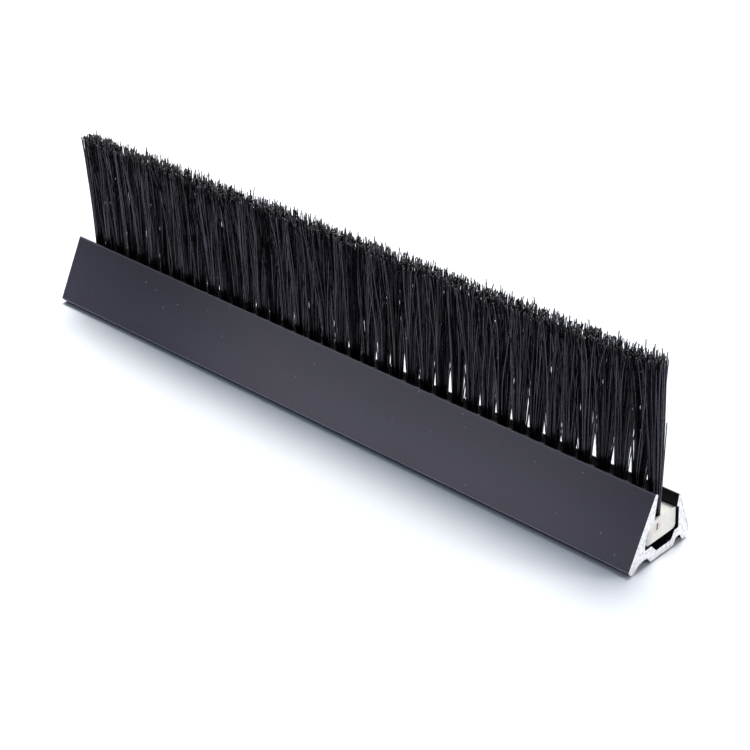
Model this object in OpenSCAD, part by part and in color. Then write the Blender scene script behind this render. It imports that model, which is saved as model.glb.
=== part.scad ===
// Brush seal strip: an extruded profile, a plastic brush bar in its channel
// and one row of bristle tufts, each folded over a wire anchor in its own hole.
// Millimetres. X runs along the strip, Y from the front wall to the rear wall, Z up.
// The origin is on the base plane, at mid length and mid width.

/* [Strip] */
// Length of the cut strip
strip_len = 200; // [60:1:600]
// Height of the trimmed bristle tips above the base plane
brush_h = 49; // [32:0.5:70]

/* [Profile] */
// Width of the profile over its two toes
base_w = 23; // [21.5:0.5:30]
// Height of the front wall
front_h = 18; // [16:0.5:22]
// Height of the rear wall
rear_h = 13.45; // [12.4:0.05:16]
// Lean of the front wall from upright, in degrees
front_lean = 26.6; // [20:0.1:29]
// Lean of the rear wall's outer face from upright, in degrees
rear_lean = 23.5; // [18:0.5:26]
// Thickness of the front wall beside the channel, square to its face
front_wall_t = 2.5; // [1.8:0.1:2.8]
// Thickness of the front wall at its tip
front_tip_t = 0.95; // [0.9:0.05:1.8]
// Thickness of the rear wall at its tip
rear_tip_t = 0.4; // [0.3:0.05:1]
// Height of the crisp edge where the front face ends over its undercut toe
front_toe_h = 1.2; // [0.6:0.1:1.6]
// Width of that undercut
front_toe_cut = 1.1; // [0.6:0.1:1.4]
// Radius of the rear toe
rear_toe_r = 2; // [1:0.1:2.6]

/* [Base] */
// Thickness of the base web under the trough
web_t = 2.2; // [1.4:0.1:3]
// Flat width of the front foot behind its toe
front_foot_w = 1.1; // [0.6:0.05:1.8]
// Flat width of the rear foot before its toe
rear_foot_w = 0.3; // [0.25:0.05:1]
// Width of the front groove at the base plane
front_groove_w = 6.4; // [5.4:0.05:7]
// Width of the rear groove at the base plane
rear_groove_w = 3.65; // [2.8:0.05:4]
// Depth of both grooves
groove_h = 1.9; // [1.4:0.1:2]

/* [Channel] */
// Height of the two ledges that carry the brush bar
ledge_h = 4.3; // [3.6:0.1:4.8]
// Width of the front wall's root where it meets the ledge, level with the base
front_root_w = 4.2; // [4:0.1:5]
// Width of the rear wall's root where it meets the ledge, level with the base
rear_root_w = 3.48; // [2.8:0.02:4]
// Width of the front ledge
front_ledge_w = 2.6; // [2:0.1:3.4]
// Width of the rear ledge
rear_ledge_w = 1.45; // [1.4:0.05:2.4]
// Reach of the front lip over the bar
front_lip = 1.2; // [0.8:0.1:2]
// Reach of the rear lip over the bar
rear_lip = 0.8; // [0.5:0.1:1.2]
// Free height between the bar and the lips
lip_gap = 0.05; // [0:0.05:0.6]

/* [Brush bar] */
// Height of the bar
bar_h = 5.85; // [5.4:0.05:6.2]
// Clearance between the bar and the front wall
bar_front_clear = 0.15; // [0.1:0.05:0.6]
// Clearance between the bar and the rear wall
bar_rear_clear = 0.35; // [0.1:0.05:0.6]
// Chamfer of the bar's lower front edge, over the front ledge
bar_chamfer = 1.8; // [0.6:0.1:2]
// Setback of the bar from each sawn end
bar_setback = 0.65; // [0:0.05:2]

/* [Tufts] */
// Pitch of the tufts along the strip
tuft_pitch = 4.82; // [4.4:0.01:8]
// Wall of the bar between the last tuft hole and the bar's right end
end_wall = 0.45; // [0.2:0.05:6]
// Gap between the tufts and the tip of the front wall
row_gap = 1.25; // [0.1:0.05:1.5]
// Diameter of a tuft hole
hole_d = 2.8; // [2:0.1:3.2]
// Depth of a tuft hole
hole_depth = 3.6; // [3:0.1:4.2]
// Thickness of the curtain of tufts at its trimmed top
curtain_t = 6.3; // [4:0.1:7]
// Gap between the flat flanks of neighbouring tufts
tuft_gap = 0.1; // [0.05:0.05:0.4]
// Clearance of a tuft in its hole, all round
tuft_fit = 0.02; // [0.01:0.01:0.05]

/* [Anchors] */
// Length of an anchor wire, which bites into the bar on both sides of its hole
anchor_len = 4.7; // [3.8:0.05:5.2]
// Turn of the anchors from the line of the row, in degrees
anchor_turn = 31; // [0:1:45]
// Height of the flat anchor wire
anchor_h = 1.7; // [1:0.1:2]
// Thickness of the flat anchor wire
anchor_t = 0.4; // [0.25:0.05:0.6]
// Depth of bristle folded under the anchor
fold_h = 0.65; // [0.4:0.05:1]

/* [Hidden] */

// Arc steps of a rounded corner of the section, and facets of the round parts
corner_steps = 6;
round_fn = 48;
// Corner radii of the extrusion: broken edges, hollow corners, and the outer edges
// and the inner side of the front wall
edge_r = 0.2;
hollow_r = 0.35;
tip_outer_r = 0.25;
tip_inner_r = 0.55;
// Lean of the rear wall's channel face from upright
rear_face_lean = 5;
// Slope of the lips' undersides
lip_slope = 23;
// Slopes of the flanks of the pad, of the trough above it and of the rear foot
pad_front_slope = 46;
pad_rear_slope = 61.5;
rear_foot_slope = 60;
// The front groove's outer flank breaks at this point, from the foot's edge
flank_break = [1.45, 1.5];
// Length of that flank along the base
flank_w = 3.1;
// Corner radii of the bar
bar_r = 0.35;
bar_rear_r = 0.4;
bar_heel_r = 1.05;
bar_bend_r = 0.6;
// Least wall of the bar between its left end and the nearest hole
least_wall = 0.15;
// The tuft's flare, as shares of its free height and of its growth in radius
tuft_flare = [[0, 0], [0.22, 0.11], [0.45, 0.38], [1, 1]];

// Outer faces: the points where they meet the base plane, and the faces at a height z
front_corner = -front_toe_h * tan(front_lean);
rear_corner = base_w - rear_toe_r + rear_toe_r / tan((90 - rear_lean) / 2);
function front_out(z) = front_corner + z * tan(front_lean);
function rear_out(z) = rear_corner - z * tan(rear_lean);

// Channel faces at a height z
channel_front = front_out(ledge_h) + front_root_w;
channel_rear = rear_out(ledge_h) - rear_root_w;
front_in_0 = front_corner + front_wall_t / cos(front_lean);
function front_in(z) = front_in_0 + z * tan(front_lean);
function rear_in(z) = channel_rear - (z - ledge_h) * tan(rear_face_lean);
bend_z = (channel_front - front_in_0) / tan(front_lean);

// Feet, pad and trough
front_foot = front_toe_cut + front_foot_w;
rear_foot = rear_corner - rear_toe_r / tan((90 - rear_lean) / 2) - rear_foot_w;
pad_front = front_foot + front_groove_w;
pad_rear = rear_foot - rear_groove_w;
trough_front = channel_front + front_ledge_w;
trough_rear = channel_rear - rear_ledge_w;
trough_h = ledge_h - web_t;

// Bar and lips
bar_top = ledge_h + bar_h;
lip_z = bar_top + lip_gap;
bar_len = strip_len - 2 * bar_setback;

// Tufts: each is round, and grows in radius from its hole to its trimmed top.
// They are counted from the right end, as many as the bar holds
last_tuft = bar_len / 2 - end_wall - hole_d / 2;
tuft_count = floor((bar_len - end_wall - hole_d - least_wall) / tuft_pitch) + 1;
hole_floor = bar_top - hole_depth;
anchor_z = hole_floor + fold_h;
root_r = hole_d / 2 - tuft_fit;
flare = [for (f = tuft_flare)
    [bar_top + f.x * (brush_h - bar_top), root_r + f.y * (curtain_t / 2 - root_r)]];

// The row stands a little behind the tip of the front wall
front_tip = [front_out(front_h) + front_tip_t * cos(front_lean), front_h - front_tip_t * sin(front_lean)];
row_y = front_tip.x + row_gap + lookup(front_tip.y, flare);

// Section corners as [y, z, corner radius], counted from the edge of the front toe
profile_corners = [
    [0, front_toe_h, tip_outer_r],
    [front_toe_cut, 0, edge_r],
    [front_foot, 0, edge_r],
    [front_foot + flank_break.x, flank_break.y, hollow_r],
    [front_foot + flank_w, groove_h, edge_r],
    [pad_front - groove_h / tan(pad_front_slope), groove_h, hollow_r],
    [pad_front, 0, edge_r],
    [pad_rear, 0, edge_r],
    [pad_rear + groove_h / tan(pad_rear_slope), groove_h, hollow_r],
    [rear_foot - groove_h / tan(rear_foot_slope), groove_h, hollow_r],
    [rear_foot, 0, edge_r],
    [rear_corner, 0, rear_toe_r],
    [rear_out(rear_h), rear_h, edge_r / 2],
    [rear_out(rear_h) - rear_tip_t, rear_h, edge_r / 2],
    [rear_in(lip_z) - rear_lip, lip_z + rear_lip * tan(lip_slope), edge_r / 2],
    [rear_in(lip_z), lip_z, edge_r / 2],
    [channel_rear, ledge_h, hollow_r],
    [trough_rear, ledge_h, edge_r],
    [trough_rear - trough_h / tan(pad_rear_slope), web_t, hollow_r],
    [trough_front + trough_h / tan(pad_front_slope), web_t, hollow_r],
    [trough_front, ledge_h, edge_r],
    [channel_front, ledge_h, hollow_r],
    [channel_front, bend_z, hollow_r],
    [front_in(lip_z), lip_z, edge_r],
    [front_in(lip_z) + front_lip, lip_z + front_lip * tan(lip_slope), edge_r],
    [front_tip.x, front_tip.y, tip_inner_r],
    [front_out(front_h), front_h, tip_outer_r]
];

bar_bend_y = channel_front + bar_front_clear;
bar_face_0 = front_in_0 + bar_front_clear / cos(front_lean);
bar_corners = [
    [bar_bend_y, ledge_h + bar_chamfer, bar_r],
    [bar_bend_y + bar_chamfer, ledge_h, bar_r],
    [channel_rear - bar_rear_clear, ledge_h, bar_heel_r],
    [rear_in(bar_top) - bar_rear_clear, bar_top, bar_rear_r],
    [bar_face_0 + bar_top * tan(front_lean), bar_top, bar_r],
    [bar_bend_y, (bar_bend_y - bar_face_0) / tan(front_lean), bar_bend_r]
];

// The arc that rounds corner b, between neighbours a and c, as corner_steps chords
function unit(v) = v / norm(v);
function turned(v, angle) = [v.x * cos(angle) - v.y * sin(angle), v.x * sin(angle) + v.y * cos(angle)];
function corner_arc(a, b, c, r) =
    let (to_a = unit(a - b), to_c = unit(c - b), half = acos(to_a * to_c) / 2)
    let (centre = b + unit(to_a + to_c) * r / sin(half), from = b + to_a * r / tan(half) - centre)
    let (sweep = (180 - 2 * half) * sign(cross(to_c, to_a)))
    [for (i = [0:corner_steps]) centre + turned(from, sweep * i / corner_steps)];

function flat(corner) = [corner.x, corner.y];
function outline(corners) =
    let (n = len(corners))
    [for (i = [0:n - 1])
        each corner_arc(flat(corners[(i + n - 1) % n]), flat(corners[i]), flat(corners[(i + 1) % n]),
            corners[i].z)];

// A section drawn over [y, z] from the front toe, run along the strip
module extrusion(corners, length) {
    translate([0, -base_w / 2, 0])
        rotate([90, 0, 90])
            linear_extrude(length, center = true)
                polygon(outline(corners));
}

// Children at every tuft, at the height of the base plane
module at_tufts() {
    for (i = [0:tuft_count - 1])
        translate([last_tuft - i * tuft_pitch, row_y - base_w / 2, 0])
            children();
}

// Children cut off at the two ends of the bar
module trimmed_to_bar() {
    intersection() {
        children();
        translate([-bar_len / 2, -base_w / 2, 0])
            cube([bar_len, base_w, brush_h]);
    }
}

// The flat wire across the foot of a hole, turned so that it doesn't split the
// bar between one hole and the next
module anchor_wire() {
    rotate([0, 0, -anchor_turn])
        translate([-anchor_len / 2, -anchor_t / 2, anchor_z])
            cube([anchor_len, anchor_t, anchor_h]);
}

// A tuft hole and the slots that its anchor cuts on both sides
module tuft_hole() {
    translate([0, 0, hole_floor])
        cylinder(d = hole_d, h = hole_depth + 1, $fn = round_fn);
    anchor_wire();
}

// One tuft: a plug in the hole, then a flare whose flanks are flat where it
// meets its neighbours, folded round the anchor at its foot
module tuft() {
    flank = (tuft_pitch - tuft_gap) / 2;
    difference() {
        intersection() {
            rotate_extrude($fn = round_fn)
                polygon(concat(
                    [[0, hole_floor], [root_r, hole_floor]],
                    [for (f = flare) [f.y, f.x]],
                    [[0, brush_h]]));
            translate([-flank, -curtain_t, 0])
                cube([2 * flank, 2 * curtain_t, brush_h]);
        }
        anchor_wire();
    }
}

module profile() {
    color([0.13, 0.13, 0.15])
        extrusion(profile_corners, strip_len);
}

module brush_bar() {
    color([0.91, 0.9, 0.84])
        difference() {
            extrusion(bar_corners, bar_len);
            at_tufts() tuft_hole();
        }
}

// The saw that cut the strip may have cut the last anchor too
module tuft_anchors() {
    color([0.55, 0.42, 0.3])
        trimmed_to_bar()
            at_tufts() anchor_wire();
}

module bristle_tufts() {
    color([0.06, 0.06, 0.07])
        trimmed_to_bar()
            at_tufts() tuft();
}

profile();
brush_bar();
tuft_anchors();
bristle_tufts();
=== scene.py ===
# %% [markdown]
# # A brush seal strip
# A black anodised aluminium profile holds a cream plastic bar, and a single row of
# black bristle tufts stands up out of the bar. The profile, the bar and the wire
# anchors come ready from the CAD frame, so here they only get their finishes.
# The tufts are different: in CAD each one is a plain flared solid, and what an eye
# sees is thousands of separate filaments. They are the modelling job of this lesson.

# %% Load the frame
import math

import bpy
import numpy as np
from mathutils import Matrix, Vector


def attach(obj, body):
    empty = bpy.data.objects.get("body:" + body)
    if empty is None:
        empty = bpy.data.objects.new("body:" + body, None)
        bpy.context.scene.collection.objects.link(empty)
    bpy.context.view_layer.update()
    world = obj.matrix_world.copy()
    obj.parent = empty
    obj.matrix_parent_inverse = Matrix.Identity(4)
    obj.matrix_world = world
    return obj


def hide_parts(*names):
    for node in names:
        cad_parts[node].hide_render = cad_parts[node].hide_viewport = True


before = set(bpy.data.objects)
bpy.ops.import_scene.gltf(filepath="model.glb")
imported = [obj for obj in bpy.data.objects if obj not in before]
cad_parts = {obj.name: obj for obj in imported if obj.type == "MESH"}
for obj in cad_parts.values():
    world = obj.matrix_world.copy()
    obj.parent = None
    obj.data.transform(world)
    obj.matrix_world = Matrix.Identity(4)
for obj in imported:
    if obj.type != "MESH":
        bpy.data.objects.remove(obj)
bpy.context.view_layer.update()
MM = 0.001

# %% [markdown]
# ## The camera
# A camera is a place, a direction and a lens. The picture is 750 pixels square, and
# the lens is 1745 pixels long, measured in the same pixels: a longish lens, but close
# to the strip, so that the near end looks much taller than the far one.
# The direction is given as for a turntable: azimuth is how far the camera stands round
# from the front, elevation is how far it looks down, and roll is a slight tilt of the
# picture. From these come the camera's three axes, which fill a matrix.

# %% Camera
PICTURE_PX = 750
LENS_PX = 1745
SENSOR_MM = 36
CAMERA_AT = Vector((274.6, -277.6, 226.5)) * MM
AZIMUTH, ELEVATION, ROLL = (math.radians(a) for a in (43.30, 29.15, -0.35))


def camera_axes(azimuth, elevation, roll):
    """Right, up and back of a camera that looks at a turntable: back points from the
    scene to the camera, right is level, up is square to both, and roll turns right
    and up about back."""
    right = Vector((math.cos(azimuth), math.sin(azimuth), 0))
    back = Vector((
        math.sin(azimuth) * math.cos(elevation),
        -math.cos(azimuth) * math.cos(elevation),
        math.sin(elevation),
    ))
    up = back.cross(right)
    c, s = math.cos(roll), math.sin(roll)
    return c * right + s * up, c * up - s * right, back


right, up, back = camera_axes(AZIMUTH, ELEVATION, ROLL)
lens = bpy.data.cameras.new("camera")
lens.sensor_width = SENSOR_MM
lens.lens = LENS_PX / PICTURE_PX * SENSOR_MM
lens.clip_start = 0.01
camera = bpy.data.objects.new("camera", lens)
bpy.context.collection.objects.link(camera)
camera.matrix_world = Matrix.Translation(CAMERA_AT) @ Matrix((right, up, back)).transposed().to_4x4()
bpy.context.scene.camera = camera
print(f"lens {lens.lens:.1f} mm, camera {CAMERA_AT.length:.3f} m from the strip's middle")

# %% [markdown]
# ## Helpers for finishes
# A finish is a small network of nodes. Writing each node by hand takes four lines, so
# one helper adds a node, sets its choices and fills its inputs, each with a plain
# value or with another node's output.

# %% Node helpers
def put(tree, kind, inputs=(), **choices):
    """Adds a node of that kind to the tree and returns it."""
    node = tree.nodes.new(kind)
    for name, value in choices.items():
        setattr(node, name, value)
    for key, value in dict(inputs).items():
        if isinstance(value, bpy.types.NodeSocket):
            tree.links.new(value, node.inputs[key])
        else:
            node.inputs[key].default_value = value
    return node


def calc(tree, operation, *values, clamp=False):
    """The output of one Math node, which adds, multiplies or compares its values."""
    return put(tree, "ShaderNodeMath", enumerate(values), operation=operation, use_clamp=clamp).outputs[0]


def ramp(tree, value, low, high, to_low=0.0, to_high=1.0):
    """value, carried smoothly from low..high to to_low..to_high, and held there."""
    return put(
        tree, "ShaderNodeMapRange",
        {"Value": value, "From Min": low, "From Max": high, "To Min": to_low, "To Max": to_high},
        interpolation_type="SMOOTHSTEP",
    ).outputs[0]


def mixed(tree, share, a, b):
    """Colour a where share is 0, and colour b where it is 1."""
    node = put(tree, "ShaderNodeMix", {0: share}, data_type="RGBA")
    for socket, value in ((node.inputs[6], a), (node.inputs[7], b)):
        if isinstance(value, bpy.types.NodeSocket):
            tree.links.new(value, socket)
        else:
            socket.default_value = (*value, 1)
    return node.outputs[2]


def in_mm(tree, stretch=(1, 1, 1)):
    """Object coordinates in millimetres, each times its own stretch."""
    place = put(tree, "ShaderNodeTexCoord").outputs["Object"]
    scale = [s / MM for s in stretch]
    return put(tree, "ShaderNodeVectorMath", {0: place, 1: scale}, operation="MULTIPLY").outputs[0]


def noise(tree, vector, scale, detail=3.0, roughness=0.5):
    """A Noise texture's grey output, about 0.5 on average. scale is in waves per unit."""
    return put(
        tree, "ShaderNodeTexNoise",
        {"Vector": vector, "Scale": scale, "Detail": detail, "Roughness": roughness},
    ).outputs["Fac"]


def new_finish(name):
    """A material with only its Principled shader and output, and the tree that holds them."""
    material = bpy.data.materials.new(name)
    material.use_nodes = True
    tree = material.node_tree
    return material, tree, tree.nodes["Principled BSDF"]


def new_group(name, outputs):
    """An empty node group that puts out these grey values, with its output node."""
    group = bpy.data.node_groups.new(name, "ShaderNodeTree")
    for output in outputs:
        group.interface.new_socket(name=output, in_out="OUTPUT", socket_type="NodeSocketFloat")
    return group, group.nodes.new("NodeGroupOutput")


def use_group(tree, group):
    node = tree.nodes.new("ShaderNodeGroup")
    node.node_tree = group
    return node.outputs


print("helpers ready")

# %% [markdown]
# ## Marks that several finishes share
# Both the aluminium profile and the plastic bar were pushed through a die, which
# leaves faint lines along the strip. Both were then cut by the same saw, which leaves
# curved scores on the two ends. Both gather dust. Each of these is a node group, made
# once, and each finish uses it in its own strength.

# %% [markdown]
# The die lines first. A noise pattern is stretched along the strip, so that it changes
# about eighty times faster across it than along it. A fine one and a broad one are
# added, because a worn die scratches and also waves a little.

# %% Die lines
DIE_LINE_STRETCH = (0.012, 1, 1)
die_lines, out = new_group("die_lines", ["Height"])
fine = noise(die_lines, in_mm(die_lines, DIE_LINE_STRETCH), 5.0, 4.0, 0.6)
broad = noise(die_lines, in_mm(die_lines, DIE_LINE_STRETCH), 1.1, 2.0)
height = calc(die_lines, "ADD", calc(die_lines, "MULTIPLY", fine, 0.6), calc(die_lines, "MULTIPLY", broad, 0.4))
die_lines.links.new(height, out.inputs["Height"])
print("die lines run along X, about 80 times longer than wide")

# %% [markdown]
# A saw blade leaves even scores, each a little different from the last. A wave pattern
# gives the even part, its distortion the difference, and a noise adds grit. A second,
# slower noise is the mottle of a cut that was smeared here and torn there.

# %% Saw marks
SAW_MARK_MM = 0.45
saw_marks, out = new_group("saw_marks", ["Height", "Mottle"])
turned = put(
    saw_marks, "ShaderNodeMapping",
    {"Vector": in_mm(saw_marks), "Rotation": (math.radians(18), 0, 0)},
).outputs[0]
scores = put(
    saw_marks, "ShaderNodeTexWave",
    {"Vector": turned, "Scale": 0.31 / SAW_MARK_MM, "Distortion": 2.6, "Detail": 3.0, "Detail Scale": 1.4},
    wave_type="BANDS", bands_direction="Z",
).outputs["Fac"]
grit = noise(saw_marks, in_mm(saw_marks), 9.0, 5.0, 0.65)
height = calc(saw_marks, "ADD", calc(saw_marks, "MULTIPLY", scores, 0.55), calc(saw_marks, "MULTIPLY", grit, 0.45))
saw_marks.links.new(height, out.inputs["Height"])
saw_marks.links.new(noise(saw_marks, in_mm(saw_marks), 1.3, 4.0, 0.6), out.inputs["Mottle"])
print(f"saw marks {SAW_MARK_MM} mm apart")

# %% [markdown]
# Dust settles as single specks and as a faint haze. For the specks, space is divided
# into cells round random points, and a speck is a small ball about a cell's point.
# Only some cells get one. The haze is a very slow noise.

# %% Dust
dust, out = new_group("dust", ["Specks", "Haze"])
cells = put(
    dust, "ShaderNodeTexVoronoi",
    {"Vector": in_mm(dust), "Scale": 0.42, "Randomness": 1.0},
    feature="F1",
)
speck = ramp(dust, cells.outputs["Distance"], 0.05, 0.105, 1.0, 0.0)
tone = put(dust, "ShaderNodeSeparateColor", {"Color": cells.outputs["Color"]}).outputs[0]
chosen = ramp(dust, tone, 0.45, 0.9)
dust.links.new(calc(dust, "MULTIPLY", speck, chosen), out.inputs["Specks"])
dust.links.new(noise(dust, in_mm(dust), 0.06, 3.0, 0.55), out.inputs["Haze"])
print("dust specks about 0.3 mm across, on some cells of a 2.4 mm pattern")

# %% [markdown]
# ## Black anodised aluminium
# Anodising soaks a black dye into the metal's own oxide skin. It looks like a dark,
# satin, slightly blue stone rather than like paint, and it mirrors the room softly.
# The strip was cut after that, so its two ends are bare metal. A mask that is 1 only
# in the end planes mixes the two: on the ends the surface turns metallic and pale.
# The end planes are found from the object coordinate along the strip.
#
# The big leaning front face is a little paler than the channel, the grooves and the
# toe's underside: those are painted darker and mirror less, as painted shade of the
# recesses. The face mirrors the room more strongly near the middle of the strip, as a
# painted sheen standing in for a lamp's reflection, and it turns darker and duller
# towards the top. Its two long edges carry a pale line, a painted highlight on the
# rounded corners with some rubbed wear in it. How far a point lies behind that face
# is a dot product with the face's normal, and how high it lies up the face is a dot
# product with the way up it. The first makes a mask, the second finds the two edges.
# The rear wall's outer face is found in the same way, and looks like the front one.
#
# At the foot of the two ends a hair-thin dark line is painted under the pad, a painted
# contact shadow where the strip meets the table. Where the saw came out, along the rear
# wall, the edge is torn and greyer.

# %% Profile finish
STRIP_END_MM = 100
# The darkest anodised colour is the black skin as it looks in shade: painted shade for the recesses.
ANODISED_IN_SHADE = (0.008, 0.008, 0.011)
ANODISED_FACE = (0.031, 0.0285, 0.050)
ANODISED_WORN = (0.046, 0.044, 0.070)
EDGE_HIGHLIGHT_AND_WEAR = (0.30, 0.30, 0.34)
SHEEN_MIDDLE_MM = 30
INSIDE_GLOSS = 0.12
REAR_GLOSS = 0.18
FACE_LEAN = math.radians(26.6)
FACE_NORMAL = (0, -math.cos(FACE_LEAN), math.sin(FACE_LEAN))
FACE_UP = (0, math.sin(FACE_LEAN), math.cos(FACE_LEAN))
FACE_FOOT = (0, -12.101, 0)
FACE_EDGE_HIGHLIGHTS_MM = {1.42: 1.0, 19.90: 0.35}
DUST_GREY = (0.33, 0.34, 0.36)
BARE_METAL = (0.86, 0.86, 0.86)
BARE_METAL_DULL = (0.54, 0.535, 0.53)
REAR_LEAN = math.radians(23.5)
REAR_NORMAL = (0, math.cos(REAR_LEAN), math.sin(REAR_LEAN))
REAR_FACE_MM = 11.51
PAD_MIDDLE_MM = 1.32
PAD_HALF_MM = 4.2
CONTACT_SHADE_MM = 0.12


def end_mask(tree, end_mm):
    """1 on the two planes at plus and minus end_mm along X, and 0 elsewhere."""
    along = put(tree, "ShaderNodeSeparateXYZ", {0: in_mm(tree)}).outputs[0]
    return calc(tree, "GREATER_THAN", calc(tree, "ABSOLUTE", along), end_mm - 0.03)


profile_finish, tree, skin = new_finish("anodised_profile")
lines = use_group(tree, die_lines)["Height"]
saw = use_group(tree, saw_marks)
dusty = use_group(tree, dust)
ends = end_mask(tree, STRIP_END_MM)
scratch_field = noise(tree, in_mm(tree, (0.05, 2.2, 2.2)), 1.7, 2.0)
scratches = ramp(tree, scratch_field, 0.735, 0.76)
from_foot = put(tree, "ShaderNodeVectorMath", {0: in_mm(tree), 1: FACE_FOOT}, operation="SUBTRACT").outputs[0]
depth, rise = (
    put(tree, "ShaderNodeVectorMath", {0: from_foot, 1: axis}, operation="DOT_PRODUCT").outputs["Value"]
    for axis in (FACE_NORMAL, FACE_UP)
)
from_rear = put(tree, "ShaderNodeVectorMath", {0: in_mm(tree), 1: REAR_NORMAL}, operation="DOT_PRODUCT").outputs["Value"]
on_front = ramp(tree, depth, -0.16, -0.08)
on_rear = ramp(tree, from_rear, REAR_FACE_MM - 0.16, REAR_FACE_MM - 0.08)
outside = calc(tree, "MAXIMUM", on_front, on_rear)
# Painted highlight, with some rubbed wear: a pale line along each long edge of the face.
edges = calc(tree, "ADD", *(
    ramp(tree, calc(tree, "ABSOLUTE", calc(tree, "SUBTRACT", rise, edge)), 0.04, 0.17, pale_share, 0.0)
    for edge, pale_share in FACE_EDGE_HIGHLIGHTS_MM.items()
))
along = put(tree, "ShaderNodeSeparateXYZ", {0: in_mm(tree)}).outputs[0]
# Painted sheen: the face mirrors most near the middle of the strip, standing in for a lamp's reflection.
off_sheen = ramp(tree, calc(tree, "ABSOLUTE", calc(tree, "SUBTRACT", along, SHEEN_MIDDLE_MM)), 15, 120)
face = mixed(tree, ramp(tree, dusty["Haze"], 0.35, 0.7, 0.0, 0.32), ANODISED_FACE, ANODISED_WORN)
face = mixed(tree, ramp(tree, rise, 4, 22, 0.0, 0.34), face, ANODISED_IN_SHADE)
face = mixed(tree, ramp(tree, lines, 0.35, 0.7, 0.0, 0.16), face, ANODISED_WORN)
face = mixed(tree, calc(tree, "MULTIPLY", scratches, 0.12), face, DUST_GREY)
face = mixed(tree, edges, face, EDGE_HIGHLIGHT_AND_WEAR)
# Painted shade: everything but the outer faces takes the darker anodised colour.
black = mixed(tree, outside, ANODISED_IN_SHADE, face)
black = mixed(tree, calc(tree, "MULTIPLY", dusty["Specks"], 0.75), black, DUST_GREY)
metal = mixed(tree, ramp(tree, saw["Mottle"], 0.40, 0.74), BARE_METAL, BARE_METAL_DULL)
torn = calc(tree, "MULTIPLY", ramp(tree, from_rear, REAR_FACE_MM - 0.45, REAR_FACE_MM - 0.05), ramp(tree, saw["Mottle"], 0.35, 0.6))
metal = mixed(tree, torn, metal, DUST_GREY)
place = put(tree, "ShaderNodeSeparateXYZ", {0: in_mm(tree)}).outputs
beside_pad = calc(tree, "ABSOLUTE", calc(tree, "SUBTRACT", place[1], PAD_MIDDLE_MM))
on_pad = calc(tree, "LESS_THAN", beside_pad, PAD_HALF_MM)
# Painted contact shadow: a hair-thin dark line at the foot of the sawn ends, under the pad.
low = calc(tree, "LESS_THAN", place[2], CONTACT_SHADE_MM)
metal = mixed(tree, calc(tree, "MULTIPLY", low, on_pad), metal, ANODISED_IN_SHADE)
tree.links.new(mixed(tree, ends, black, metal), skin.inputs["Base Color"])
tree.links.new(ends, skin.inputs["Metallic"])
satin = ramp(tree, lines, 0.3, 0.7, 0.34, 0.42)
sawn = ramp(tree, saw["Height"], 0.3, 0.7, 0.38, 0.55)
rough = put(tree, "ShaderNodeMix", {0: ends, 2: satin, 3: sawn}, data_type="FLOAT").outputs[0]
tree.links.new(rough, skin.inputs["Roughness"])
# The painted sheen falls off away from the middle and towards the top of the face.
gloss = calc(tree, "MULTIPLY", ramp(tree, off_sheen, 0.0, 1.0, 0.76, 0.27), ramp(tree, rise, 1, 22, 1.08, 0.84))
# The inside mirrors less, and below 2.2 mm not at all, so the grooves and toe stay as dark as shade.
inside = ramp(tree, place[2], 2.2, 2.6, 0.0, INSIDE_GLOSS)
outside_sheen = calc(tree, "MAXIMUM", calc(tree, "MULTIPLY", on_front, gloss), calc(tree, "MULTIPLY", on_rear, REAR_GLOSS))
tree.links.new(calc(tree, "MAXIMUM", outside_sheen, inside), skin.inputs["Specular IOR Level"])
skin.inputs["Specular Tint"].default_value = (0.93, 0.91, 1.0, 1)
relief = put(
    tree, "ShaderNodeMix",
    {0: ends, 2: calc(tree, "MULTIPLY", lines, 0.18), 3: saw["Height"]}, data_type="FLOAT",
).outputs[0]
bump = put(tree, "ShaderNodeBump", {"Height": relief, "Strength": 0.5, "Distance": 0.03 * MM})
tree.links.new(bump.outputs[0], skin.inputs["Normal"])
print("anodised finish, with bare ends at x = plus and minus", STRIP_END_MM, "mm")

# %% [markdown]
# ## Cream plastic
# The bar is natural polypropylene: a warm off-white that lets a little light in.
# Its ends are sawn, so they are paler, rougher and blotchy, and round the cut wire the
# saw has dragged a faint rust-coloured smear over the plastic. Towards the front wall
# and low down the cut end is painted grey, as painted shade from that wall, and a broken
# dark line is painted where the bar's end meets that wall, as the painted shadow of the
# gap between them.

# %% Bar finish
BAR_END_MM = 99.35
CREAM = (0.86, 0.825, 0.75)
CREAM_SAWN = (0.97, 0.92, 0.84)
CREAM_DULL = (0.70, 0.67, 0.58)
SMEAR = (0.62, 0.44, 0.36)
WIRE_AT_MM = (0, -0.57, 8.05)
GAP_SHADOW_MM = 4.0
WALL_SHADE_GREY = (0.42, 0.42, 0.45)

bar_finish, tree, skin = new_finish("cream_bar")
saw = use_group(tree, saw_marks)
lines = use_group(tree, die_lines)["Height"]
ends = end_mask(tree, BAR_END_MM)
blotch = ramp(tree, saw["Mottle"], 0.36, 0.7, 0.0, 0.55)
cream = mixed(tree, ramp(tree, lines, 0.3, 0.75, 0.0, 0.18), CREAM, CREAM_DULL)
cream = mixed(tree, ends, cream, mixed(tree, blotch, CREAM_SAWN, CREAM))
off = put(
    tree, "ShaderNodeVectorMath", {0: in_mm(tree, (0, 1, 1)), 1: WIRE_AT_MM}, operation="DISTANCE",
).outputs["Value"]
smear = calc(tree, "MULTIPLY", ramp(tree, off, 0.4, 2.1, 0.5, 0.0), ends)
cream = mixed(tree, smear, cream, SMEAR)
from_wall = put(tree, "ShaderNodeVectorMath", {0: in_mm(tree), 1: FACE_FOOT}, operation="SUBTRACT").outputs[0]
depth = put(tree, "ShaderNodeVectorMath", {0: from_wall, 1: FACE_NORMAL}, operation="DOT_PRODUCT").outputs["Value"]
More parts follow.
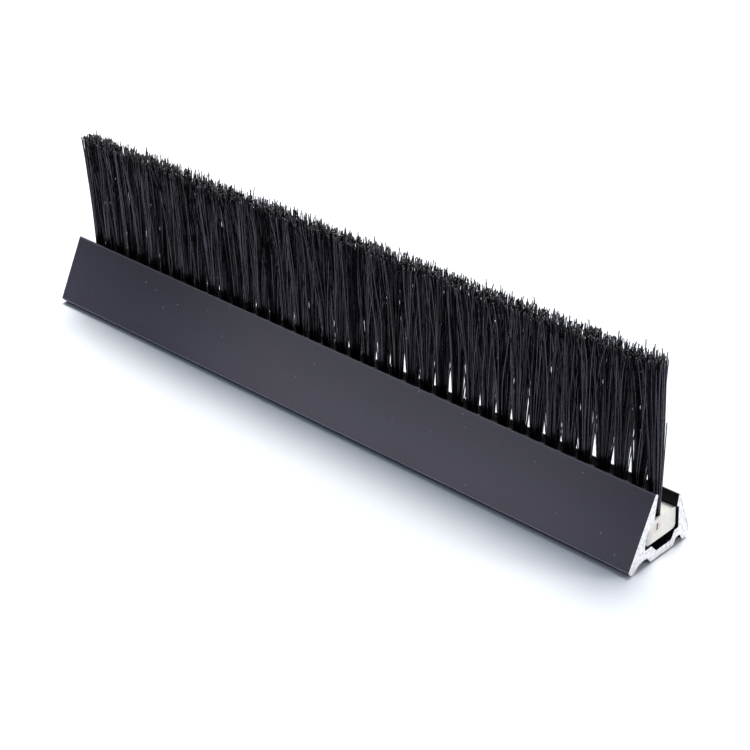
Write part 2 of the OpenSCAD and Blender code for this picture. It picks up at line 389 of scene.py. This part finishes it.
height = put(tree, "ShaderNodeSeparateXYZ", {0: in_mm(tree)}).outputs[2]
# Painted shade: the cut end turns grey towards the front wall and low down.
wall_shade = calc(tree, "MULTIPLY", ramp(tree, depth, -GAP_SHADOW_MM - 2.6, -GAP_SHADOW_MM - 0.2), ramp(tree, height, 5.2, 9.2, 0.6, 0.0))
cream = mixed(tree, calc(tree, "MULTIPLY", wall_shade, ends), cream, WALL_SHADE_GREY)
# Painted shadow of the gap between the bar's end and the front wall, broken by noise.
gap_shadow = calc(tree, "MULTIPLY", ramp(tree, depth, -GAP_SHADOW_MM - 0.15, -GAP_SHADOW_MM + 0.1), ramp(tree, height, 7.2, 8.6, 1.0, 0.0))
broken = ramp(tree, noise(tree, in_mm(tree), 0.9, 3.0), 0.40, 0.46)
gap_shadow = calc(tree, "MULTIPLY", gap_shadow, calc(tree, "MULTIPLY", broken, ends))
cream = mixed(tree, gap_shadow, cream, ANODISED_IN_SHADE)
tree.links.new(cream, skin.inputs["Base Color"])
tree.links.new(ramp(tree, saw["Height"], 0.3, 0.7, 0.42, 0.6), skin.inputs["Roughness"])
bump = put(
    tree, "ShaderNodeBump",
    {"Height": calc(tree, "MULTIPLY", saw["Height"], ends), "Strength": 0.6, "Distance": 0.05 * MM},
)
tree.links.new(bump.outputs[0], skin.inputs["Normal"])
skin.inputs["Subsurface Weight"].default_value = 0.12
skin.inputs["Subsurface Radius"].default_value = (1.0, 0.8, 0.6)
skin.inputs["Subsurface Scale"].default_value = 0.6 * MM
print("cream finish, sawn at x = plus and minus", BAR_END_MM, "mm")

# %% [markdown]
# ## Anchor wire
# Each tuft is folded over a short flat wire that bites into the bar. Only the last
# one shows, cut through by the saw: a dull, slightly rusty slit in the bar's end.

# %% Wire finish
WIRE_STEEL = (0.020, 0.012, 0.011)
WIRE_RUST = (0.085, 0.026, 0.018)

wire_finish, tree, skin = new_finish("anchor_wire")
saw = use_group(tree, saw_marks)
rust = ramp(tree, saw["Mottle"], 0.4, 0.65)
tree.links.new(mixed(tree, rust, WIRE_STEEL, WIRE_RUST), skin.inputs["Base Color"])
tree.links.new(ramp(tree, rust, 0.0, 1.0, 0.4, 0.75), skin.inputs["Roughness"])
skin.inputs["Specular IOR Level"].default_value = 0.2
bump = put(tree, "ShaderNodeBump", {"Height": saw["Height"], "Strength": 0.5, "Distance": 0.02 * MM})
tree.links.new(bump.outputs[0], skin.inputs["Normal"])
print("wire finish ready")

# %% [markdown]
# The CAD nodes keep their meshes. They are dressed through the material slots of their
# objects, so nothing of their form is touched.

# %% Dress the CAD nodes
for node_name, finish in (("profile", profile_finish), ("brush_bar", bar_finish), ("tuft_anchors", wire_finish)):
    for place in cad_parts[node_name].material_slots:
        place.material = finish
    print(node_name, "wears", finish.name)

# %% [markdown]
# ## Nylon filament
# A filament is a black nylon hair 0.25 mm thick. Hairs differ a little in tone, they
# shine softly along their flanks, and where the shears cut them they end in a small
# disc; about half of these discs are painted pale, as painted glints. Each hair stores
# two numbers of its own on its mesh: strand, a random tone, and along, how far up the
# hair a point is. The finish reads both.

# %% Filament finish
FILAMENT = (0.0026, 0.0024, 0.0044)
FILAMENT_PALE = (0.011, 0.0105, 0.016)
CUT_GLINT = (0.17, 0.17, 0.20)

filament_finish, tree, skin = new_finish("bristle")
tone = put(tree, "ShaderNodeAttribute", attribute_name="strand").outputs["Fac"]
along = put(tree, "ShaderNodeAttribute", attribute_name="along").outputs["Fac"]
grain = noise(tree, in_mm(tree, (1, 1, 0.1)), 3.0, 3.0)
pale = calc(tree, "MULTIPLY", ramp(tree, tone, 0.45, 1.0), ramp(tree, grain, 0.3, 0.7, 0.55, 1.0))
hair = mixed(tree, pale, FILAMENT, FILAMENT_PALE)
tree.links.new(hair, skin.inputs["Base Color"])
tree.links.new(ramp(tree, grain, 0.3, 0.7, 0.20, 0.32), skin.inputs["Roughness"])
shine = calc(tree, "MULTIPLY", ramp(tree, tone, 0.15, 1.0, 0.03, 1.0), ramp(tree, along, 0.86, 1.0, 1.05, 0.8))
tree.links.new(shine, skin.inputs["Specular IOR Level"])
skin.inputs["Specular Tint"].default_value = (0.86, 0.82, 1.0, 1)
bump = put(tree, "ShaderNodeBump", {"Height": grain, "Strength": 0.25, "Distance": 0.02 * MM})
tree.links.new(bump.outputs[0], skin.inputs["Normal"])

tip_finish, tree, skin = new_finish("bristle_cut")
tone = put(tree, "ShaderNodeAttribute", attribute_name="strand").outputs["Fac"]
# Painted glints: about half the cut ends are pale.
tree.links.new(mixed(tree, ramp(tree, tone, 0.5, 1.0), FILAMENT, CUT_GLINT), skin.inputs["Base Color"])
tree.links.new(ramp(tree, noise(tree, in_mm(tree), 6.0), 0.3, 0.7, 0.35, 0.6), skin.inputs["Roughness"])
print("filament and cut-tip finishes ready")

# %% [markdown]
# ## The tufts
# A tuft is about 100 hair ends pressed into one hole: a machine folds a bundle of hairs
# in the middle, over a piece of wire, and drives wire and fold into the bar. The hairs
# leave the hole packed like the seeds of a sunflower and spread on the way up until
# neighbouring tufts meet. Then the whole row is sheared flat.
#
# These are the row's own numbers. They agree with the holes in the CAD bar.

# %% Sizes of the row
TUFTS = 41
PITCH = 4.82
LAST_TUFT_X = 97.5
ROW_Y = 0.56
BAR_TOP = 10.15
TIP_Z = 48.58
HAIRS = 100
HAIR_R = 0.125
ROOT_SINK = 1.0
ROOT_R = 1.38 - HAIR_R
TIP_SPREAD = (4.0, 3.0)
FLARE_POWER = 1.65
LEAN_POWER = 2.3
KINK_POWER = 9
PRESSED_MM = 1.5
rng = np.random.default_rng(240)
print(TUFTS * HAIRS, "hairs of", 2 * HAIR_R, "mm")

# %% [markdown]
# ## Where hairs begin and end
# Each hair needs two places: where it stands in its hole, and where its tip ends up,
# which is the same place spread wider, with a little chance. Seeds of a sunflower fill
# a disc evenly, because the golden turn never repeats itself.
#
# On top of that a hair leans. Some of the lean belongs to its whole tuft, some to its
# bundle, since hairs stick together in small bundles, and some to the hair alone.
# The two tufts at the ends of the row stand by themselves: the saw cut close beside
# them, so they are narrow, and the near one is pressed back towards its neighbour.
#
# All hairs are worked out together, as arrays with one row per hair, so there is no
# loop over points.

# %% Roots and tips
GOLDEN_TURN = math.pi * (3 - math.sqrt(5))
BUNDLES = 6


def seeds(count, turns):
    """Places of count seeds in discs of radius 1, one disc for each turn: the radius
    grows as the square root of the seed's number, and the angle by the golden turn."""
    k = np.arange(count)
    radius = np.sqrt((k + 0.5) / count)
    angle = k * GOLDEN_TURN + turns[:, None]
    return np.stack([radius * np.cos(angle), radius * np.sin(angle)], -1)


tuft_x = LAST_TUFT_X - PITCH * np.arange(TUFTS)
disc = seeds(HAIRS, rng.uniform(0, 2 * math.pi, TUFTS))
centre = np.stack([tuft_x, np.full(TUFTS, ROW_Y)], -1)[:, None]
spread = np.tile(TIP_SPREAD, (TUFTS, 1, 1)).reshape(TUFTS, 1, 2)
spread[0] = 2.0, 2.6
spread[1] = 3.2, 2.9
spread[-1] = 2.5, 2.7
lean = rng.normal((-0.4, 0.0), (0.25, 0.15), (TUFTS, 1, 2))
lean[0] = -1.5, -0.2
lean[1] = -1.0, 0.0
lean[-1] = 0.1, 0.0

root = centre + ROOT_R * disc
jitter = np.where(np.isin(np.arange(TUFTS), (0, TUFTS - 1)), 0.3, 1.0)[:, None, None]
shift = np.zeros((TUFTS, 1, 2))
shift[0] = -1.1, 0.0
tip = centre + shift + spread * disc + jitter * rng.normal(0, (0.60, 0.42), (TUFTS, HAIRS, 2))
bundle = (BUNDLES * (np.arctan2(disc[..., 1], disc[..., 0]) / (2 * math.pi) + 0.5)).astype(int) % BUNDLES
bundle_lean = rng.normal(0, (0.5, 0.3), (TUFTS, BUNDLES, 2))
lean = lean + jitter * (
    np.take_along_axis(bundle_lean, bundle[..., None], 1) + rng.normal(0, (1.0, 0.25), (TUFTS, HAIRS, 2))
)
print("roots", root.shape, "tips", tip.shape)

# %% [markdown]
# Shears cut a tuft slightly domed: the hairs at its rim lean out, so their ends lie
# lower. A few strays escape the shears and stand above the rest, a few are too short,
# and at the near end one hair is snapped off halfway up.

# %% Lengths
DOME = 0.55
STRAYS = 0.035
SHORTS = 0.045
tip_z = TIP_Z - DOME * (disc ** 2).sum(-1) + rng.normal(0, 0.28, (TUFTS, HAIRS))
chance = rng.random((TUFTS, HAIRS))
tip_z += np.where(chance < STRAYS, rng.uniform(0.6, 2.2, chance.shape), 0)
tip_z -= np.where(chance > 1 - SHORTS, rng.uniform(0.8, 5.0, chance.shape), 0)
snapped = np.argmax(disc[0] @ (1.0, 0.4))
tip_z[0, snapped] = 33.5
tip[0, snapped] = root[0, snapped] + (-0.3, 0.2)
lean[0, snapped] = 0
print("tips from", tip_z.min().round(1), "to", tip_z.max().round(1), "mm")

# %% [markdown]
# ## The way of a hair
# No hair is straight. Its path is the sum of its root and five moves, each of them a
# sideways step times a shape that depends only on the share of the way up:
# - the flare carries it towards its tip, slowly at first, which leaves narrow wedges
#   of light between the tufts low down,
# - the lean bends its upper half,
# - the kink bends only its last few millimetres,
# - the bow adds one half wave and the wave one whole wave.
#
# The nearest two tufts were pressed together when the strip was sawn, so the hairs that
# face each other there bow across the gap.

# %% Paths
RINGS = 9
share = 1 - np.linspace(1, 0, RINGS) ** 1.3


def hair_paths(root, tip, tip_z, lean, kink, bow, wave):
    """Points along each hair, as (hair, ring, xyz). A hair starts at its root. Its way
    towards its tip grows as a power of the share of the way up, which gives the flare,
    its lean as a higher power, which bends the upper half, and its kink as one so high
    that only the last few millimetres bend. bow adds one half wave on the way and wave
    one whole wave."""
    base_z = BAR_TOP - ROOT_SINK
    up = base_z + (tip_z - base_z)[:, None] * share
    moves = np.stack([tip - root, lean, kink, bow, wave])
    shapes = np.stack([
        share ** FLARE_POWER, share ** LEAN_POWER, share ** KINK_POWER,
        np.sin(math.pi * share ** 1.5), np.sin(2 * math.pi * share ** 1.5),
    ])
    out = root[:, None] + np.einsum("mhc,mr->hrc", moves, shapes)
    return np.concatenate([out, up[..., None]], -1)


hairs = TUFTS * HAIRS
kink = rng.normal(0, 0.45, (hairs, 2))
bow = jitter * rng.normal(0, (0.36, 0.26), (TUFTS, HAIRS, 2))
bow[0, :, 0] -= PRESSED_MM * (1 - disc[0, :, 0]) / 2
bow[1, :, 0] += PRESSED_MM * (1 + disc[1, :, 0]) / 2
wave = jitter * rng.normal(0, 0.20, (TUFTS, HAIRS, 2))
bow[0, snapped] = wave[0, snapped] = kink[snapped] = 0
flat = [a.reshape(-1, 2) for a in (root, tip, lean, bow, wave)]
paths = hair_paths(flat[0], flat[1], tip_z.ravel(), flat[2], kink, flat[3], flat[4])
tones = rng.random(hairs)
print("paths", paths.shape)

# %% [markdown]
# ## From a path to a tube
# A path has no thickness, so a ring of six points is laid round each of its points, and
# faces join the rings. Six sides are enough for a hair that is one pixel wide.

# %% Tubes
SIDES = 6
CUT_SLOPE = 0.6


def hair_mesh(name, paths, tones):
    """A piece made of one tube per path. Each ring is a regular polygon round the path's
    point, level, because the hairs stand nearly upright; only the last is tilted, as
    the shears left it. Quads join each ring to the next, and one flat polygon closes
    each end."""
    count, rings = paths.shape[:2]
    turn = rng.uniform(0, 2 * math.pi, count)[:, None] + 2 * math.pi * np.arange(SIDES) / SIDES
    circle = HAIR_R * np.stack([np.cos(turn), np.sin(turn), 0 * turn], -1)
    points = paths[:, :, None] + circle[:, None]
    points[:, -1, :, 2] += (rng.normal(0, CUT_SLOPE, (count, 2))[:, None] * circle[..., :2]).sum(-1)
    points *= MM
    number = np.arange(count * rings * SIDES).reshape(count, rings, SIDES)
    after = np.roll(number, -1, 2)
    quads = np.stack([number[:, :-1], after[:, :-1], after[:, 1:], number[:, 1:]], -1).reshape(-1, 4)
    tops = number[:, -1]
    feet = number[:, 0, ::-1]
    corners = np.concatenate([quads.ravel(), tops.ravel(), feet.ravel()])
    lengths = np.concatenate([np.full(len(quads), 4), np.full(2 * count, SIDES)])
    mesh = bpy.data.meshes.new(name)
    mesh.vertices.add(points.size // 3)
    mesh.vertices.foreach_set("co", points.astype(np.float32).ravel())
    mesh.loops.add(len(corners))
    mesh.loops.foreach_set("vertex_index", corners.astype(np.int32))
    mesh.polygons.add(len(lengths))
    mesh.polygons.foreach_set("loop_start", np.concatenate([[0], np.cumsum(lengths)[:-1]]).astype(np.int32))
    cut = np.arange(len(lengths)) >= len(quads)
    mesh.polygons.foreach_set("material_index", (cut & (np.arange(len(lengths)) < len(quads) + count)).astype(np.int32))
    mesh.polygons.foreach_set("use_smooth", ~cut)
    for label, values in (
        ("strand", np.repeat(tones, rings * SIDES)),
        ("along", np.tile(np.repeat(share, SIDES), count)),
    ):
        mesh.attributes.new(label, "FLOAT", "POINT").data.foreach_set("value", values.astype(np.float32))
    mesh.materials.append(filament_finish)
    mesh.materials.append(tip_finish)
    mesh.update(calc_edges=True)
    mesh.validate()
    piece = bpy.data.objects.new(name, mesh)
    bpy.context.collection.objects.link(piece)
    return piece


# %% [markdown]
# Some programs thin a mesh of more than 200,000 triangles, so the row is made as
# three pieces of neighbouring tufts, each well below that. Each piece rides on the
# strip's one body, and stands in for the plain flared solids of the CAD tufts.

# %% Bristle pieces
PIECES = 3
for number, part in enumerate(np.array_split(np.arange(TUFTS), PIECES), 1):
    mine = (part[:, None] * HAIRS + np.arange(HAIRS)).ravel()
    piece = hair_mesh(f"bristles_{number}", paths[mine], tones[mine])
    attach(piece, "root")
    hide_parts("bristle_tufts")
    triangles = sum(len(p.vertices) - 2 for p in piece.data.polygons)
    print(piece.name, len(part), "tufts,", triangles, "triangles")

# %% [markdown]
# ## The studio
# The strip lies on a white table. A sawn strip never touches a table all along, so the
# table is a hair lower than the strip, and that gap is a dark line.
#
# The room's light is weak and slightly blue, and it comes from above: near the horizon
# the room is darker, which keeps the shade under the strip's toe deep. The camera and
# mirror-like surfaces see the room as pure white.

# %% Floor and room
FLOOR_SIZE = 6
FLOOR_GAP = 0.3 * MM
floor_finish, tree, skin = new_finish("floor")
skin.inputs["Base Color"].default_value = (0.97, 0.975, 0.985, 1)
skin.inputs["Roughness"].default_value = 0.55
skin.inputs["Specular IOR Level"].default_value = 0.3
floor_mesh = bpy.data.meshes.new("floor")
reach = FLOOR_SIZE / 2
floor_mesh.from_pydata(
    [(x * reach, y * reach, -FLOOR_GAP) for x, y in ((-1, -1), (1, -1), (1, 1), (-1, 1))], [], [(0, 1, 2, 3)]
)
floor_mesh.materials.append(floor_finish)
floor = bpy.data.objects.new("floor", floor_mesh)
bpy.context.collection.objects.link(floor)

ROOM_LOW = (0.06, 0.075, 0.10)
ROOM_HIGH = (0.27, 0.32, 0.40)
world = bpy.data.worlds.new("room")
bpy.context.scene.world = world
world.use_nodes = True
tree = world.node_tree
ray = put(tree, "ShaderNodeLightPath").outputs
seen = calc(tree, "MAXIMUM", ray["Is Camera Ray"], ray["Is Glossy Ray"])
seen = calc(tree, "MAXIMUM", seen, ray["Is Transmission Ray"])
way = put(tree, "ShaderNodeTexCoord").outputs["Generated"]
height = put(tree, "ShaderNodeSeparateXYZ", {0: way}).outputs[2]
fill = mixed(tree, ramp(tree, height, 0.1, 0.75), ROOM_LOW, ROOM_HIGH)
tree.links.new(mixed(tree, seen, fill, (1, 1, 1)), tree.nodes["Background"].inputs["Color"])
print("floor", FLOOR_SIZE, "m, room fill", ROOM_LOW, "to", ROOM_HIGH)

# %% [markdown]
# Three lamps light the strip:
# - one large soft light hangs high and a little behind, so that the front wall and a
#   strip of floor before it lie in soft shade, while the bristles catch it on their
#   tops and flanks,
# - a softbox stands at the far end, near enough to be weaker at the near end,
# - a low light from behind and to the right brightens the sawn end.
#
# A sun with a wide disc acts as an endless softbox: its light is as strong on the far
# floor as on the near, and its shadows are soft. Its strength is in watts per square
# metre, so pi times the brightness that it gives white paper.

# %% Lamps
def soft_sun(name, azimuth, elevation, brightness, disc):
    """A sun whose light comes from that azimuth, counted from -Y towards +X, and
    elevation, in degrees."""
    lamp = bpy.data.lights.new(name, "SUN")
    lamp.energy = brightness * math.pi
    lamp.angle = math.radians(disc)
    lit = bpy.data.objects.new(name, lamp)
    bpy.context.collection.objects.link(lit)
    a, e = math.radians(azimuth), math.radians(elevation)
    source = Vector((math.sin(a) * math.cos(e), -math.cos(a) * math.cos(e), math.sin(e)))
    lit.rotation_euler = source.to_track_quat("Z", "Y").to_euler()
    return lit


def softbox(name, azimuth, elevation, distance, size, brightness):
    """A square lamp that faces the strip from that azimuth and elevation, in degrees.
    Its face is brightness times as bright as white paper."""
    lamp = bpy.data.lights.new(name, "AREA")
    lamp.size = size
    lamp.energy = brightness * math.pi * size ** 2
    lit = bpy.data.objects.new(name, lamp)
    bpy.context.collection.objects.link(lit)
    a, e = math.radians(azimuth), math.radians(elevation)
    source = Vector((math.sin(a) * math.cos(e), -math.cos(a) * math.cos(e), math.sin(e)))
    lit.location = source * distance
    lit.rotation_euler = source.to_track_quat("Z", "Y").to_euler()
    return lit


soft_sun("overhead", 195, 69, 0.70, 20)
soft_sun("right", 128, 15, 0.32, 20)
softbox("left", 250, 46, 0.40, 0.20, 5.0)

bpy.context.scene.view_settings.view_transform = "Standard"
